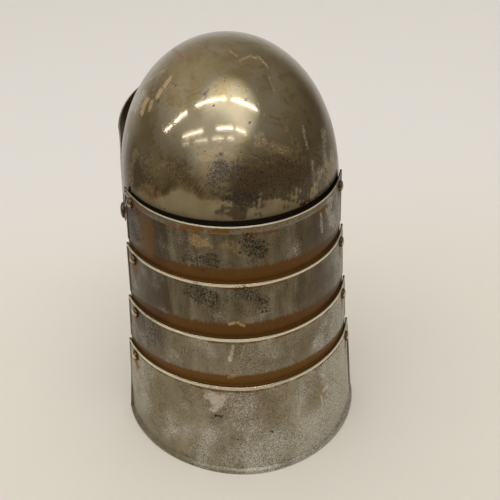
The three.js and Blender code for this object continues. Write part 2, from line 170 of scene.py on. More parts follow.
# Marks by kind, each where the photograph shows it: half its width in pixels, its
# strength, and then the x and y of each point that it follows.
SKULL_MARKS = {
    # A painted sheen over the middle of the crown, for the glow of the ceiling there.
    "painted_sheen": [(46, 0.8, 188, 128, 246, 122)],
    # The widest brown, rust and dark marks low on the skull, with half-widths of 20 and more,
    # are partly tarnish and partly painted shade.
    "brown": [(30, 0.8, 244, 184, 302, 180), (9, 0.7, 226, 212, 240, 213)],
    "tan": [
        (1.5, 0.5, 230, 51, 237, 56), (1.5, 0.5, 240, 60, 250, 56, 256, 58),
        (1.4, 0.5, 258, 56, 268, 67), (2, 1, 171, 77, 165, 86), (2, 1, 161, 90, 157, 97),
        (2, 0.9, 142, 114, 144, 104, 148, 99), (1.8, 0.6, 152, 101, 149, 111),
        (7, 0.45, 205, 157, 218, 152, 231, 158), (8, 0.35, 258, 140, 272, 146, 287, 152),
        (4, 0.35, 132, 183, 131, 165, 136, 151), (1, 0.3, 268, 76, 276, 96),
    ],
    "rust": [
        (3.5, 0.8, 174, 50, 182, 56), (2.4, 0.9, 287, 129), (22, 0.42, 250, 180, 296, 172),
        (20, 0.2, 160, 172, 200, 180), (9, 0.35, 206, 176, 214, 188),
        (12, 0.3, 262, 172, 276, 186), (9, 0.45, 142, 190, 152, 200), (3, 0.9, 158, 193),
        (2, 0.9, 314, 198), (4, 0.5, 329, 121, 334, 149), (2.5, 0.6, 331, 138, 336, 158),
    ],
    "pale": [
        (6, 0.55, 134, 108, 139, 97, 144, 92), (1.1, 0.4, 140, 86, 152, 78, 165, 70),
        (1.8, 0.45, 122, 183, 123, 160, 128, 133), (1.8, 0.45, 303, 126, 305, 138, 308, 149),
        (2.6, 0.4, 312, 161, 315, 189), (3, 0.4, 323, 131, 326, 164),
        (6, 0.4, 320, 172, 327, 196), (3, 0.4, 331, 150, 335, 180),
    ],
    "dark": [
        (2, 1, 158, 101), (1.6, 1, 214, 106), (1.6, 1, 250, 123), (1.5, 0.9, 176, 85),
        (1.2, 0.8, 183, 154), (1.2, 0.8, 190, 154.5), (1.2, 0.7, 197, 154),
        (2.6, 0.6, 293, 140, 296, 146, 298, 152), (1.2, 0.5, 203, 96, 208, 90),
        (1.2, 0.5, 216, 90), (17, 0.54, 218, 178, 238, 172, 262, 180),
        (27, 0.46, 250, 184, 294, 176), (10, 0.8, 232, 197, 241, 195),
        (4, 0.9, 250, 197, 256, 200), (1, 0.5, 199, 92, 206, 95, 204, 100),
        (1, 0.45, 226, 76, 224, 82), (1, 0.45, 243, 100, 250, 98),
    ],
}
PLATE_MARKS = [
    {
        "tan": [(7, 0.5, 193, 239, 206, 245), (7, 0.3, 224, 244, 243, 250)],
        "rust": [
            (2.8, 0.9, 181, 227, 202, 230), (2.8, 0.9, 209, 231, 227, 232),
            (2.4, 0.8, 244, 234, 257, 234), (2.2, 0.7, 264, 233, 277, 231),
            (1.8, 0.6, 166, 223, 175, 226), (2.8, 0.6, 318, 213, 326, 207),
            (11, 0.5, 137, 205, 141, 225, 147, 246),
        ],
        "pale": [
            (4, 0.4, 330, 200, 331, 224), (1.6, 0.4, 321, 214, 322, 232),
            # The last pale mark is a painted highlight along the collar's bevel at its left end.
            (1.5, 0.7, 125, 193, 131, 200),
        ],
        "dark": [
            (8, 0.42, 190, 256, 213, 262), (9, 0.56, 249, 242, 262, 254),
            (7, 0.46, 131, 212, 135, 238),
        ],
    },
    {
        "tan": [(2.2, 0.7, 229, 324, 234, 323), (1.6, 0.7, 238, 323, 244, 326)],
        "dark": [(10, 0.36, 195, 289, 212, 298), (9, 0.38, 243, 293, 262, 304)],
    },
    {
        "tan": [
            (1.3, 0.5, 245, 345, 241, 357), (2, 0.35, 251, 362, 249, 368),
            (3.4, 0.5, 229, 376, 235, 375),
        ],
        "pale": [(2.6, 0.45, 233, 346, 230, 360)],
        "dark": [(9, 0.34, 146, 316, 152, 336)],
    },
    {
        "rust": [
            (30, 0.3, 222, 396, 262, 402), (2.4, 0.4, 181, 452, 189, 457),
            (1.6, 0.4, 347, 402, 342, 415, 336, 427),
        ],
        "pale": [
            (7, 0.5, 209, 396, 221, 400, 214, 409), (1.6, 0.5, 328, 385, 323, 391),
            (1.2, 0.5, 321, 396, 323, 405), (1, 0.4, 301, 402, 299, 413, 299, 424),
            (1.2, 0.6, 320, 374, 324, 376),
        ],
        "dark": [
            (2.6, 0.9, 216, 415, 222, 416), (1, 0.3, 232, 438, 240, 440, 248, 439),
            (1.5, 0.8, 272, 432),
        ],
    },
]
# The brown band above each lower plate's bead, at its widest.
BAND_TALL = (15, 15, 11, 0)
# How dark each plate's tarnish is, partly painted shade, and how much pale bloom it has.
TARNISH_AND_SHADE = (1.0, 1.0, 0.4, 0.0)
BLOOM = (0.0, 0.02, 0.06, 0.12)
BLOOM_FROM = (0.82, 0.8, 0.6, 0.6)  # the share of the way round past which it thickens
BLOOM_RISE = 0.38
BAND_FADE = 0.42
RUST_HALO = 5

# Sizes read from the frame.
skull_low, skull_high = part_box("skull")
pivot_low, pivot_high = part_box("peak_pivot_left")
SKULL_HALF_WIDTH = skull_high.x / MM
PIVOT_Y = (pivot_low.y + pivot_high.y) / 2 / MM
PIVOT_Z = (pivot_low.z + pivot_high.z) / 2 / MM
SHIFT_Y = PIVOT_Y  # the skull's middle lies level with the pivots
NECK_HEIGHT = 249.2
NECK_HALF_WIDTH = SKULL_HALF_WIDTH + SKULL_GAP + PLATE_WALL
NECK_DEPTH = SKULL_HALF_LENGTH + SKULL_GAP + PLATE_WALL
PEAK_SIDE = SKULL_HALF_WIDTH + PEAK_SIDE_GAP
SKULL_Z = NECK_HEIGHT - SKULL_DROP


def add_object(name, data):
    thing = bpy.data.objects.new(name, data)
    bpy.context.scene.collection.objects.link(thing)
    return thing


# Camera

def camera_axes():
    """The camera's right, up and backward directions."""
    turn = math.radians(CAMERA_AZIMUTH)
    rise = math.radians(CAMERA_ELEVATION)
    roll = math.radians(CAMERA_ROLL)
    level = math.cos(rise)
    back = Vector((math.sin(turn) * level, math.cos(turn) * level, math.sin(rise)))
    across = (-back).cross(Vector((0, 0, 1))).normalized()
    over = across.cross(-back)
    right = math.cos(roll) * across + math.sin(roll) * over
    up = -math.sin(roll) * across + math.cos(roll) * over
    return right, up, back


def make_camera():
    right, up, back = camera_axes()
    data = bpy.data.cameras.new("camera")
    data.sensor_width = 36
    data.lens = data.sensor_width * CAMERA_FOCUS / FRAME_PIXELS
    data.shift_x = (FRAME_PIXELS / 2 - CAMERA_CENTRE[0]) / FRAME_PIXELS
    data.shift_y = (CAMERA_CENTRE[1] - FRAME_PIXELS / 2) / FRAME_PIXELS
    data.clip_start = 0.05
    camera = add_object("camera", data)
    camera.matrix_world = Matrix((
        *((right[i], up[i], back[i], CAMERA_PLACE[i] * MM) for i in range(3)), (0, 0, 0, 1)))
    bpy.context.scene.camera = camera


def photo_pixels(points):
    """Where points in millimetres show in the photograph's frame."""
    right, up, back = (np.array(axis) for axis in camera_axes())
    away = points - np.array(CAMERA_PLACE)
    depth = -(away @ back)
    x = CAMERA_CENTRE[0] + CAMERA_FOCUS * (away @ right) / depth
    y = CAMERA_CENTRE[1] - CAMERA_FOCUS * (away @ up) / depth
    return np.stack([x, y], axis=-1)


# Mesh making

def grid_faces(rows, columns, turned):
    """Quads over a grid of points. Its rows close if it is turned, or else its columns."""
    row = np.arange(rows - 1 if turned else rows)
    column = np.arange(columns if turned else columns - 1)
    a, b = np.meshgrid(row, column, indexing="ij")
    a2 = (a + 1) % rows
    b2 = (b + 1) % columns
    quads = np.stack([
        a * columns + b, a * columns + b2, a2 * columns + b2, a2 * columns + b,
    ], axis=-1)
    return quads.reshape(-1, 4)


def cut_hole(body, point, axis, radius):
    """A hole through both faces of a sheet round an axis, with its wall."""
    point = Vector(point) * MM
    axis = Vector(axis).normalized()

    def near(place, limit):
        away = place - point
        along = away.dot(axis)
        return abs(along) < HOLE_REACH * MM and (away - along * axis).length < limit

    inside = [face for face in body.faces if near(face.calc_center_median(), radius * MM)]
    bmesh.ops.delete(body, geom=inside, context="FACES")
    rim = [edge for edge in body.edges if edge.is_boundary
           and near((edge.verts[0].co + edge.verts[1].co) / 2, 3 * radius * MM)]
    bmesh.ops.bridge_loops(body, edges=rim)


def make_piece(name, grid, fields, holes=(), turned=False):
    """A smooth closed body from a grid of points in millimetres.

    Each row runs along the piece, and the rows go round its section, with a cap at
    either end. In a turned piece each row is a ring, from one pole to the other.
    """
    rows, columns = grid.shape[:2]
    points = grid.reshape(-1, 3) * MM
    faces = grid_faces(rows, columns, turned)
    # The faces look out: the volume under them has to be positive.
    corner = points[faces]
    diagonals = np.cross(corner[:, 2] - corner[:, 0], corner[:, 3] - corner[:, 1])
    if np.sum(corner[:, 0] * diagonals) < 0:
        faces = faces[:, ::-1]
    mesh = bpy.data.meshes.new(name)
    mesh.from_pydata(points.tolist(), [], faces.tolist())
    for field, values in fields.items():
        attribute = mesh.attributes.new(field, "FLOAT", "POINT")
        attribute.data.foreach_set("value", np.ascontiguousarray(values, np.float32).ravel())
    body = bmesh.new()
    body.from_mesh(mesh)
    body.verts.ensure_lookup_table()
    if turned:
        poles = [body.verts[i] for i in range(columns)]
        poles += [body.verts[(rows - 1) * columns + i] for i in range(columns)]
        bmesh.ops.remove_doubles(body, verts=poles, dist=1e-6)
    else:
        for column in (0, columns - 1):
            section = [body.verts[row * columns + column] for row in range(rows)]
            cap = body.faces.new(section)
            bmesh.ops.triangulate(body, faces=[cap])
        bmesh.ops.recalc_face_normals(body, faces=body.faces)
    for point, axis, radius in holes:
        cut_hole(body, point, axis, radius)
    if holes:
        bmesh.ops.recalc_face_normals(body, faces=body.faces)
    for face in body.faces:
        face.smooth = True
    body.to_mesh(mesh)
    body.free()
    return add_object(name, mesh)


def mix(a, b, share):
    return a + (b - a) * share


def smooth(value, low, high):
    """0 below low and 1 above high, with an eased step between."""
    t = np.clip((value - low) / (high - low), 0, 1)
    return t * t * (3 - 2 * t)


def signed_power(value, power):
    return np.sign(value) * np.abs(value) ** power


def unit(vectors):
    return vectors / np.maximum(np.linalg.norm(vectors, axis=-1, keepdims=True), 1e-12)


# Skull

def skull_points(angle, height, inset):
    tall = SKULL_HEIGHT - inset
    rise = np.clip(height / tall, 0, 1)
    dome = np.maximum(0, 1 - rise ** SKULL_PROFILE_IN) ** (1 / SKULL_PROFILE_OUT)
    skirt = 1 - SKULL_NARROWING * (height / SKULL_RIM_SIDE) ** 2
    share = np.where(height > 0, dome, skirt)
    x = (SKULL_HALF_WIDTH - inset) * share * np.cos(angle)
    y = (SKULL_HALF_LENGTH - inset) * share * np.sin(angle)
    lean_y = y * math.cos(SKULL_TILT) - height * math.sin(SKULL_TILT)
    lean_z = y * math.sin(SKULL_TILT) + height * math.cos(SKULL_TILT)
    return np.stack([x, lean_y + SHIFT_Y, lean_z + SKULL_Z], axis=-1)


def skull_grid():
    """Rows from the outer crown down to the rim and up inside, finer behind."""
    behind = np.linspace(0, math.pi, SKULL_COLUMNS[0], endpoint=False)
    before = np.linspace(math.pi, 2 * math.pi, SKULL_COLUMNS[1], endpoint=False)
    angle = np.concatenate([behind, before])
    rim = SKULL_RIM_SIDE + SKULL_RIM_SWING * np.sin(angle)

    def dome(rows, inset):
        rises = np.sin(math.pi / 2 * np.linspace(0, 1, rows))
        return [(np.full_like(angle, (SKULL_HEIGHT - inset) * rise), inset) for rise in rises]

    def skirt(rows, inset):
        shares = [*np.linspace(0, 1 - 2 * SKULL_EDGE, rows)[1:], 1 - SKULL_EDGE / 2]
        return [(-rim * share, inset) for share in shares]

    # The two rows between the faces are the rim's flat underside.
    rows = [*dome(DOME_ROWS, 0)[::-1], *skirt(SKIRT_ROWS, 0),
            (-rim, SKULL_ROUND), (-rim, SKULL_WALL - SKULL_ROUND),
            *skirt(INNER_SKIRT_ROWS, SKULL_WALL)[::-1], *dome(INNER_DOME_ROWS, SKULL_WALL)]
    grid = np.array([skull_points(angle, height, inset) for height, inset in rows])
    outside = np.array([np.full_like(angle, inset == 0) for _, inset in rows])
    return grid, {"outside": outside}


# Neck guard

EDGES = [{
    "half_width": NECK_HALF_WIDTH * wide, "depth": NECK_DEPTH * deep,
    "middle": NECK_DEPTH * middle, "end": NECK_DEPTH * ends, "rivet": NECK_DEPTH * rivet,
    "power": power, "z": NECK_HEIGHT * high, "slope": slope,
} for wide, deep, middle, ends, rivet, power, high, slope in EDGE_TABLE]
PLATES = len(EDGES) - 1


def edge_points(edge, share, side=0, back=0):
    half_width = edge["half_width"] - side
    depth = edge["depth"] - back
    power = edge["power"]
    reach = (edge["end"] - edge["middle"]) / edge["depth"]
    start = math.asin(math.copysign(abs(reach) ** (power / 2), reach))
    angle = mix(start, math.pi - start, share)
    x = half_width * signed_power(np.cos(angle), 2 / power)
    y = edge["middle"] + depth * signed_power(np.sin(angle), 2 / power)
    return np.stack([x, y, edge["z"] + edge["slope"] * (y - SLOPE_FROM)], axis=-1)


def edge_raise(plate, share):
    if plate > 0:
        return np.full_like(share, BEAD)
    return COLLAR * smooth(np.minimum(share, 1 - share), 0.09, 0.3)


def plate_points(plate, share, fall):
    """The plain outer face of a plate, without its raised borders."""
    last = plate == PLATES - 1
    proud = edge_raise(plate, share)
    upper = edge_points(EDGES[plate], share, proud, proud)
    inside = BEAD + PLATE_WALL
    if last:
        lower = edge_points(EDGES[plate + 1], share, HEM, HEM)
    else:
        lower = edge_points(EDGES[plate + 1], share, inside + GAP_SIDE, inside + GAP_BACK)
    flare = fall ** FLARE if last else fall
    flat = mix(upper, lower, flare[..., None])
    flat[..., 2] = mix(upper[..., 2], lower[..., 2], fall)
    return flat


def border_raise(plate, drop, border_tall):
    """How far the rolled upper border stands out, as a share of its full height."""
    if plate == 0:
        return 1 - smooth(drop, border_tall - 0.2, border_tall + 0.8)
    # A round bead with a finer one under it.
    upper = np.sqrt(np.maximum(0, 1 - ((drop - BEAD_ROUND) / BEAD_ROUND) ** 2))
    low_middle = border_tall - BEAD_FINE
    lower = np.sqrt(np.maximum(0, 1 - ((drop - low_middle) / BEAD_FINE) ** 2))
    return np.maximum(0.1 + 0.9 * upper, 0.55 * lower) * (drop < border_tall + 0.1)


def plate_normals(plate, share, fall, level):
    small = 1e-3
    along = plate_points(plate, share + small, fall) - plate_points(plate, share - small, fall)
    if level:
        down = np.zeros_like(along)
        down[..., 2] = -1
    else:
        down = plate_points(plate, share, fall + small) - plate_points(
            plate, share, np.maximum(fall - small, 0))
    return unit(np.cross(down, along))


def plate_grid(plate):
    """Rows down the outer face, round the lower edge and up the inner face."""
    last = plate == PLATES - 1
    tall = EDGES[plate]["z"] - EDGES[plate + 1]["z"]
    bottom = tall if last else tall + OVERLAP
    border_tall = COLLAR_TALL if plate == 0 else BEAD_TALL
    arc = math.pi * (EDGES[plate]["half_width"] + EDGES[plate]["depth"]) / 2
    ends = np.array([0, 0.15, 0.5, 2, *(END_BORDER + np.array([-0.5, 0, 0.5, 1]))]) / arc
    middle = np.linspace(ends[-1], 1 - ends[-1], PLATE_COLUMNS)[1:-1]
    share = np.concatenate([ends, middle, 1 - ends[::-1]])
    from_end = np.minimum(share, 1 - share) * arc
    end_lift = BEAD * (1 - smooth(from_end, END_BORDER - 0.4, END_BORDER + 0.6))
    end_lift -= 0.25 * (1 - smooth(from_end, 0, 0.5))

    if plate == 0:
        top = [0, 0.3, 2.5, 5, *np.linspace(border_tall - 0.3, border_tall + 0.9, 6)]
    else:
        low_start = border_tall - 2 * BEAD_FINE
        top = [*(BEAD_ROUND * (1 - np.cos(np.linspace(0, 0.82 * math.pi, 11)))),
               *(low_start + BEAD_FINE * (1 - np.cos(np.linspace(0.12 * math.pi, math.pi, 8)))),
               border_tall + 0.12, border_tall + 0.8]
    stop = bottom - HEM_TALL if last else tall - END_BORDER_STOP
    if last:
        low = [stop - 1, stop - 0.5, stop, stop + 0.5, bottom - 1.5, bottom - 0.5,
               bottom - 0.15, bottom]
    else:
        low = [stop - 0.6, stop, stop + 0.6, *np.arange(tall - 2, bottom - 1, HOLE_ROW),
               bottom - 0.5, bottom]
    between = np.arange(top[-1] + PLATE_ROW, low[0] - 0.8, PLATE_ROW)
    outer_drops = np.array([*top, *between, *low])
    within = np.arange(border_tall + 2.5, bottom - 1, HOLE_ROW)
    inner_drops = np.array([0, 0.4, border_tall, border_tall + 1, *within, bottom - 0.4, bottom])

    def face(drops, outer):
        pulled, fall = np.meshgrid(share, drops / tall)
        if last:
            # The lower corners are rounded.
            near = np.clip(1 - (tall - drops) / CORNER, 0, 1)
            pull = (CORNER * (1 - np.sqrt(1 - near ** 2)) / arc)[:, None]
            pulled = mix(pull, 1 - pull, pulled)
        plain = plate_points(plate, pulled, fall)
        normal = plate_normals(plate, pulled, fall, True)
        drop = fall * tall
        lift = edge_raise(plate, pulled)
        if outer:
            lift = lift * border_raise(plate, drop, border_tall)
            border = end_lift[None, :] * (1 - smooth(drop, stop - 0.4, stop + 0.5))
            lift = np.maximum(lift, border)
            if last:
                hem = HEM * smooth(drop, stop - 0.8, stop + 0.3)
                lift = np.maximum(lift, hem - 0.5 * smooth(drop, bottom - 0.8, bottom))
            return plain + normal * lift[..., None], drop, pulled
        # Only the first plate's collar is turned out inside too.
        turned_out = lift * border_raise(plate, drop, border_tall) if plate == 0 else 0 * lift
        return plain + normal * (turned_out - PLATE_WALL)[..., None], drop, pulled

    outer, outer_drop, outer_share = face(outer_drops, True)
    inner, inner_drop, inner_share = face(inner_drops[::-1], False)
    drop = np.concatenate([outer_drop, inner_drop])
    spread = np.concatenate([outer_share, inner_share])
    outside = np.zeros_like(drop)
    outside[:len(outer)] = 1
    return np.concatenate([outer, inner]), {
        "drop": drop, "above_next": tall - drop, "outside": outside, "share": spread,
        "along": (spread - 0.5) * arc, "from_end": np.minimum(spread, 1 - spread) * arc,
    }


def plate_at(plate, y, z):
    """The share and fall at which a plate passes a point seen from the side."""
    small = 1e-4

    def place(share, fall):
        return plate_points(plate, np.array(share), np.array(fall))[1:]

    found = np.array([0.1, 0.2])
    for _ in range(20):
        here = place(*found)
        slopes = [(place(*(found + step)) - here) / small for step in small * np.eye(2)]
        found += np.linalg.solve(np.transpose(slopes), (y, z) - here)
    return found


# Rivets

def turned_grid(profile, columns, point, normal):
    """A profile of radius and height turned about a direction through a point."""
    axis = unit(np.array(normal, float))
    side = unit(np.cross(axis, [0, 0, 1]))
    other = np.cross(axis, side)
    angle = np.linspace(0, 2 * math.pi, columns, endpoint=False)
    rows = []
    for radius, height in profile:
        ring = radius * (np.cos(angle)[:, None] * side + np.sin(angle)[:, None] * other)
        rows.append(np.array(point) + axis * height + ring)
    return np.array(rows)


def rivet_profile(head, dome, shank, tail, grip):
    """From the middle of the domed head out, down the shank and over the tail."""
    crown = [(head * math.sin(t), HEAD_GAP + dome * 0.18 + dome * 0.82 * math.cos(t))
             for t in np.linspace(0, math.pi / 2, 12)]
    return [
        *crown,
        (head, HEAD_GAP + 0.12),
        (head - 0.15, HEAD_GAP),
        (shank, HEAD_GAP),
        (shank, -grip),
        (tail - 0.2, -grip),
        (tail, -grip - 0.3),
        (tail, -grip - 0.8),
        (tail * 0.8, -grip - RIVET_TAIL_THICK),
        (0, -grip - RIVET_TAIL_THICK),
    ]


# The peak

def peak_inner_z(y):
    return PIVOT_Z + PEAK_INNER_RISE - PEAK_INNER_SLOPE * (y - PIVOT_Y)


def peak_rim_z(y):
    return PIVOT_Z + PEAK_RIM_RISE - PEAK_RIM_SLOPE * (y - PIVOT_Y)


def curve(t, *points):
    """Places along a curve that leaves the first point and bends to the last."""
    t = t[:, None]
    last = len(points) - 1
    return sum(math.comb(last, i) * (1 - t) ** (last - i) * t ** i * np.array(point)
               for i, point in enumerate(points))


def arm_x(y, z):
    past = np.maximum(0, np.hypot(y - PIVOT_Y, z - PIVOT_Z) - PEAK_BOW_FROM)
    return PEAK_SIDE - PEAK_BOW * past ** 2


def side_place(edge_z, shares):
    """A place in y and z, as shares of the way from the pivot to the wing."""
    wing = PIVOT_Y - PEAK_WING_FRONT
    return mix(PIVOT_Y, wing, shares[0]), mix(PIVOT_Z, edge_z(wing), shares[1])


def peak_side_lines():
    """The front edge, and the rear edge and rim, of one arm in y and z."""
    radius = PIVOT[0] + PEAK_BOSS

    def around(turn, way):
        return np.stack([PIVOT_Y + way * radius * np.sin(turn),
                         PIVOT_Z - radius * np.cos(turn)], -1)

    share, half, whole = (np.linspace(0, 1, count, endpoint=False) for count in (24, 30, 60))
    front_turn, rear_turn = np.array([math.pi / 2]), np.array([PEAK_BOSS_REAR])
    arm_top = side_place(peak_rim_z, PEAK_ARM_TOP)
    front = np.concatenate([
        around(mix(PEAK_BOSS_FLAT, math.pi / 2, share), -1),
        curve(whole, around(front_turn, -1)[0],
              *(side_place(peak_inner_z, shares) for shares in (PEAK_FRONT_BEND, (1, 1)))),
    ])
    rear = np.concatenate([
        around(mix(PEAK_BOSS_FLAT, PEAK_BOSS_REAR, share), 1),
        curve(half, around(rear_turn, 1)[0], side_place(peak_rim_z, PEAK_ARM_BEND), arm_top),
        curve(half, arm_top, *(side_place(peak_rim_z, shares) for shares in PEAK_LOBE_BENDS)),
    ])
    widen = np.concatenate([np.zeros(len(share) + len(half)), half])
    return front, rear, widen


def peak_grid():
    """Rows from the inner edge out to the rim over the top, and back below."""
    front, rear, widen = peak_side_lines()
    wing = PIVOT_Y - PEAK_WING_FRONT
    inner_half = arm_x(wing, peak_inner_z(wing))
    rim_half = SKULL_HALF_WIDTH - PEAK_RIM_IN
    inner_depth = SKULL_HALF_LENGTH + PEAK_FRONT_GAP - PEAK_WING_FRONT
    angle = np.linspace(0, math.pi, PEAK_COLUMNS)
    inner_y = wing - inner_depth * np.sin(angle)
    rim_y = wing - (inner_depth + PEAK_REACH) * np.sin(angle)
    rear_x = mix(arm_x(rear[:, 0], rear[:, 1]), rim_half, widen)
    side_a = np.stack([arm_x(front[:, 0], front[:, 1]), front[:, 0], front[:, 1]], -1)
    side_b = np.stack([rear_x, rear[:, 0], rear[:, 1]], -1)
    ring_a = np.stack([inner_half * np.cos(angle), inner_y, peak_inner_z(inner_y)], -1)
    ring_b = np.stack([rim_half * np.cos(angle), rim_y, peak_rim_z(rim_y)], -1)
    flip = np.array([-1, 1, 1])
    line_a = np.concatenate([side_a, ring_a, side_a[::-1] * flip])
    line_b = np.concatenate([side_b, ring_b, side_b[::-1] * flip])
    side_out = np.tile([1.0, 0, 0], (len(front), 1))
    ring_out = np.stack([np.cos(angle), -np.sin(angle), 0 * angle], -1)
    out = np.concatenate([side_out, ring_out, side_out * flip])
    rolled = np.concatenate([widen, np.ones(len(angle)), widen[::-1]])
    roll_share = PEAK_ROLL / (PEAK_RIM_RISE - PEAK_INNER_RISE)
    over = np.linspace(0, 1, 9)
    shares = np.array([0, 0.006, 0.02, 0.06, *np.linspace(0.12, 0.86, 18),
                       *mix(1 - roll_share, 1, over)])
    flat = np.zeros(len(shares) - len(over))
    bulge = np.concatenate([flat, np.sqrt(np.maximum(0, 1 - (2 * over - 1) ** 2))])
    lift = (PEAK_ROLL - PEAK_WALL) * bulge
    # The thin edges are rounded where the brim isn't rolled.
    ease = np.zeros(len(shares))
    ease[:2] = (0.35, 0.1)
    outer = [mix(line_a, line_b, share) + out * (rolled * up - low)[:, None]
             for share, up, low in zip(shares, lift, ease)]
    inner = [mix(line_a, line_b, share) - out * (PEAK_WALL - low)
             for share, low in zip(shares, ease)]
    grid = np.array(outer + inner[::-1])
    outside = np.zeros(grid.shape[:2])
    outside[:len(outer)] = 1
    return grid, {"outside": outside}


# Marks

def ripple(points, size, seed):
    """A smooth random value about nought at each point, with waves of a size."""
    draw = np.random.default_rng(seed)
    total = np.zeros(points.shape[:-1])
    waves = 9
    for _ in range(waves):
        way = unit(draw.normal(size=3)) * draw.uniform(3, 8) / size
        total += np.sin(points @ way + draw.uniform(0, 2 * math.pi))
    return total / math.sqrt(waves)


def line_distance(pixels, line):
    """How far pixels lie from a line of points or from one, given as x, y, x, y."""
    line = np.reshape(line, (-1, 2)).astype(float)
    starts, ends = (line, line) if len(line) == 1 else (line[:-1], line[1:])
    nearest = np.full(pixels.shape[:-1], np.inf)
    for start, end in zip(starts, ends):
        way = end - start
        share = np.clip((pixels - start) @ way / max(way @ way, 1e-9), 0, 1)
        off = pixels - start - share[..., None] * way
        nearest = np.minimum(nearest, np.linalg.norm(off, axis=-1))
    return nearest


def paint(fields, grid, marks, rivets):
    """Adds a field for each kind of mark, strong where the marks lie."""
    down = np.gradient(grid, axis=0)
    along = np.gradient(grid, axis=1)
    normal = unit(np.cross(along, down))
    middle = np.array([0, SHIFT_Y, grid[..., 2].mean()])
    normal *= np.sign(np.sum(normal * (grid - middle), axis=-1, keepdims=True))
    faces = np.sum(normal * (np.array(CAMERA_PLACE) - grid), axis=-1) > 0
    shown = faces * fields["outside"]
    pixels = photo_pixels(grid)
    rough = ripple(grid, 16, 5) * 0.3 + ripple(grid, 5, 6) * 0.25
    for kind in MARK_LOOKS:
        fields[kind] = np.zeros(grid.shape[:2])
        for width, strength, *line in marks.get(kind, ()):
            away = line_distance(pixels, line) / width + rough * min(1, width / 4)
            mark = strength * (1 - smooth(away, 0.45, 1.15)) * shown
            fields[kind] = np.maximum(fields[kind], mark)
    # Rust gathers under each rivet's head and runs down from it.
    for point, axis, _ in rivets:
        off = grid - point
        off[..., 2] *= np.where(off[..., 2] < 0, 0.5, 1)
        away = np.linalg.norm(off, axis=-1) + 2 * ripple(grid, 9, 7)
        halo = 0.75 * (1 - smooth(away, RIVET[0], RIVET[0] + RUST_HALO)) * fields["outside"]
        fields["rust"] = np.maximum(fields["rust"], halo)


# Building the pieces

def plate_rivet_place(plate, side):
    """Where a plate's rivet stands on its outer face, and the way it points."""
    share, fall = plate_at(plate, EDGES[plate]["rivet"], EDGES[plate]["z"] - RIVET_BELOW)
    point = plate_points(plate, np.array(share), np.array(fall)) + [0, SHIFT_Y, 0]
    normal = plate_normals(plate, np.array(share), np.array(fall), False)
    mirror = np.array([side, 1, 1])
    return point * mirror, normal * mirror


def pivot_holes(half_width):
    return [((side * half_width, PIVOT_Y, PIVOT_Z), (1, 0, 0), PIVOT_HOLE) for side in (1, -1)]


def build_skull():
    grid, fields = skull_grid()
    holes = [(*plate_rivet_place(0, side), RIVET_HOLE) for side in (1, -1)]
    holes += pivot_holes(SKULL_HALF_WIDTH)
    # Height over the neck guard's upper edge, and far above it in front.
    behind = grid[..., 1] - SHIFT_Y
    edge_z = NECK_HEIGHT + EDGES[0]["slope"] * (behind - SLOPE_FROM)
    fields["above_neck"] = mix(99, grid[..., 2] - edge_z, smooth(behind, 28, 46))
    paint(fields, grid, SKULL_MARKS, holes[2:])
    piece = make_piece("skull_shell", grid, fields, holes, turned=True)
    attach(piece, "skull")
    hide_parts("skull")
    return piece


def build_plate(plate):
    grid, fields = plate_grid(plate)
    grid = grid + np.array([0, SHIFT_Y, 0])
    body = f"neck_plate_{plate + 1}"
    through = [plate] if plate + 1 == PLATES else [plate, plate + 1]
    holes = [(*plate_rivet_place(row, side), RIVET_HOLE if row == plate else COVERED_HOLE[plate])
             for row in through for side in (1, -1)]
    share = fields.pop("share")
    fields["band"] = BAND_TALL[plate] * np.sin(math.pi * share) ** BAND_FADE
    fields["collar"] = np.full_like(share, COLLAR_TALL if plate == 0 else BEAD_TALL)
    # Painted shade: the tarnish deepens on the plates' flanks, where they turn away from the
    # light, and most on the left.
    darker = smooth(np.abs(share - 0.5), 0.24, 0.36) * (1 - smooth(share, 0.9, 0.97))
    fields["tarnish_and_shade"] = TARNISH_AND_SHADE[plate] * (0.9 + mix(2, 1, share) * darker)
    fields["bloom"] = BLOOM[plate] + BLOOM_RISE * smooth(share, BLOOM_FROM[plate], 1)
    if plate + 1 == PLATES:
        low = smooth(fields["drop"], 20, 75)
        fields["bloom"] += BLOOM_RISE * low * smooth(share, 0.32, 0.7)
    paint(fields, grid, PLATE_MARKS[plate], holes)
    piece = make_piece(f"plate_{plate + 1}", grid, fields, holes)
    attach(piece, body)
    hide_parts(body)
    return piece


def rivet_fields(grid, size):
    """How far each point of a rivet lies from its head's middle, and how far down."""
    head = grid[0].mean(axis=0)
    foot = np.linalg.norm(grid - head, axis=-1)
    low = head[2] - grid[..., 2]
    return {"foot": foot, "low": low, "size": np.full_like(foot, size)}


def build_plate_rivet(plate, side):
    point, normal = plate_rivet_place(plate, side)
    word = "left" if side > 0 else "right"
    grip = SKULL_RIVET_GRIP if plate == 0 else PLATE_RIVET_GRIP
    grid = turned_grid(rivet_profile(*RIVET, grip), RIVET_COLUMNS, point, normal)
    fields = rivet_fields(grid, RIVET[0])
    piece = make_piece(f"rivet_{plate + 1}_{word}", grid, fields, turned=True)
    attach(piece, f"neck_plate_{plate + 1}")
    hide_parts(f"plate_{plate + 1}_rivet_{word}")
    return piece


def build_pivot(side):
    word = "left" if side > 0 else "right"
    low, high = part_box(f"peak_pivot_{word}")
    grip = PEAK_SIDE - min(abs(low.x), abs(high.x)) / MM - RIVET_TAIL_THICK
    grid = turned_grid(rivet_profile(*PIVOT, grip), PIVOT_COLUMNS,
                       (side * PEAK_SIDE, PIVOT_Y, PIVOT_Z), (side, 0, 0))
    fields = rivet_fields(grid, PIVOT[0])
    piece = make_piece(f"pivot_{word}", grid, fields, turned=True)
    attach(piece, "skull")
    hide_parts(f"peak_pivot_{word}")
    return piece


